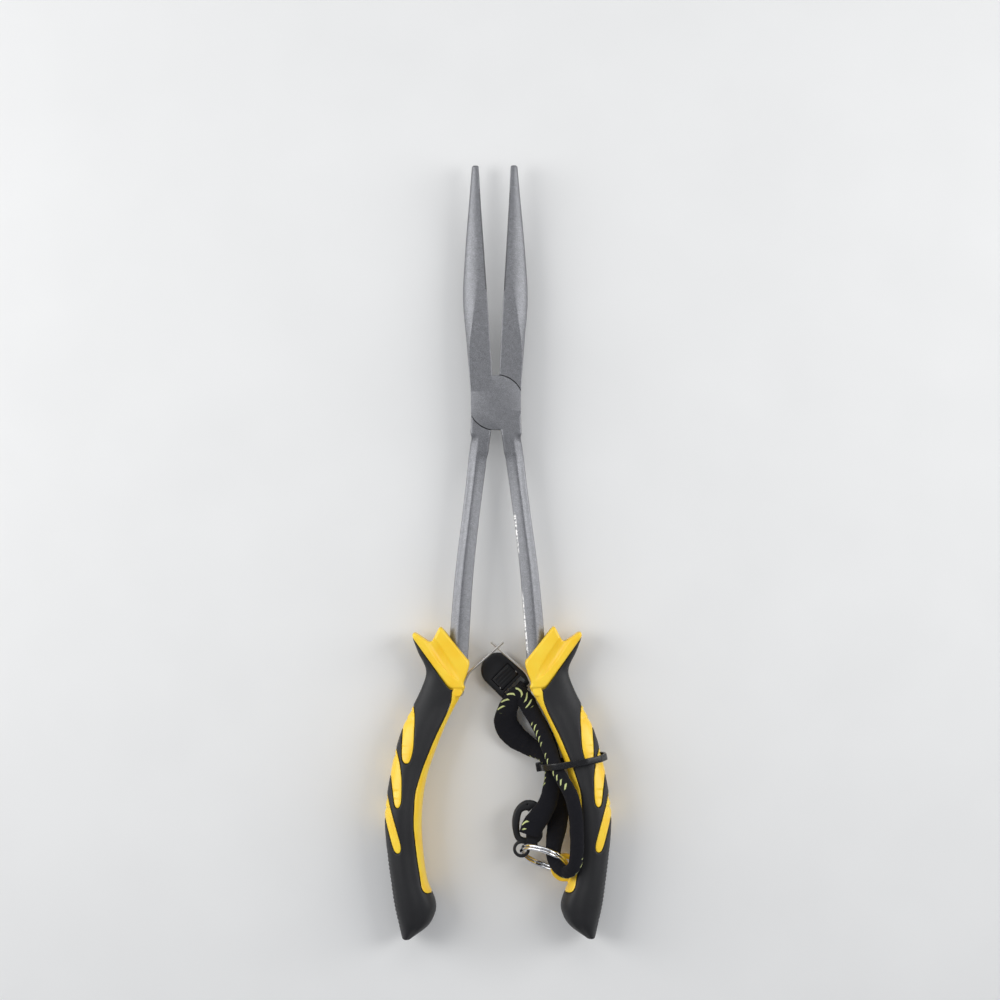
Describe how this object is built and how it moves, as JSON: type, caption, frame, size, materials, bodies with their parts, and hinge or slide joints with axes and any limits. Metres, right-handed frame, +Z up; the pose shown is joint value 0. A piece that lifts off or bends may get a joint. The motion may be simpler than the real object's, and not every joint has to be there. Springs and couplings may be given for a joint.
{
  "type": "fishing pliers",
  "caption": "Long-reach fishing pliers with crossed-wire opening springs, moulded two-tone handles, a lug with a split ring, and a tied lanyard with a snap hook and a belt clip.",
  "frame": {"origin": "on the surface that the pliers lie on, under the middle of their length and width", "axes": "+Y along the tool towards the jaw tips, +X towards the handle that carries the lug, +Z up from the surface, parallel to the pivot"},
  "size_m": [0.0822, 0.28, 0.0232],
  "materials": {
    "coated_steel": "speckled grey low-friction coating, satin, bright where it has worn through",
    "yellow_plastic": "moulded yellow plastic, semi-gloss",
    "black_rubber": "charcoal moulded rubber, fine matte texture",
    "spring_steel": "drawn stainless wire",
    "ring_chrome": "bright plated",
    "black_plastic": "moulded black plastic",
    "strap_fabric": "woven black tape with a faded pale green pattern",
    "tie_nylon": "black nylon, semi-gloss",
    "clip_plastic": "black moulded plastic, semi-gloss"
  },
  "bodies": {
    "right_half": {"front_lever": "coated_steel", "right_handle_core": "yellow_plastic", "right_grip": "black_rubber", "right_spring_pin": "spring_steel", "pivot_rivet": "coated_steel", "split_ring": "ring_chrome", "snap_hook_body": "black_plastic", "snap_hook_pin": "spring_steel", "lanyard_strap": "strap_fabric", "strap_hook_loop": "strap_fabric", "strap_clip_loop": "strap_fabric", "hank_tie": "tie_nylon", "belt_clip_body": "clip_plastic", "belt_clip_pin": "spring_steel"},
    "left_half": {"back_lever": "coated_steel", "left_handle_core": "yellow_plastic", "left_grip": "black_rubber", "left_spring_pin": "spring_steel"},
    "right_wire": {"right_spring_wire": "spring_steel"},
    "left_wire": {"left_spring_wire": "spring_steel"},
    "hook_gate": {"snap_hook_gate": "black_plastic"},
    "clip_thumb_lever": {"belt_clip_lever": "clip_plastic"}
  },
  "joints": [
    {"name": "pliers_pivot", "type": "hinge", "parent": "right_half", "child": "left_half", "pos_m": [0, 0.054, 0.00975], "axis": [0, 0, -1], "range_deg": [-7.6, 12], "stiffness_Nm_per_rad": 3},
    {"name": "right_wire_fold", "type": "hinge", "parent": "right_half", "child": "right_wire", "pos_m": [0.0144, -0.0505, 0.00975], "axis": [0, 0, 1], "range_deg": [-13.7, 21.7]},
    {"name": "left_wire_fold", "type": "hinge", "parent": "left_half", "child": "left_wire", "pos_m": [-0.0144, -0.0505, 0.00975], "axis": [0, 0, -1], "range_deg": [-13.7, 21.7]},
    {"name": "hook_gate_hinge", "type": "hinge", "parent": "right_half", "child": "hook_gate", "pos_m": [0.015, -0.1006, 0.00975], "axis": [0, 0, 1], "range_deg": [0, 22], "stiffness_Nm_per_rad": 0.02},
    {"name": "clip_lever_hinge", "type": "hinge", "parent": "right_half", "child": "clip_thumb_lever", "pos_m": [0.00398, -0.04688, 0.0028], "axis": [-0.7071, -0.7071, 0], "range_deg": [0, 12], "stiffness_Nm_per_rad": 0.05}
  ],
  "couplings": [
    {"joint": "right_wire_fold", "follows": "pliers_pivot", "ratio": 1.8},
    {"joint": "left_wire_fold", "follows": "pliers_pivot", "ratio": 1.8}
  ]
}
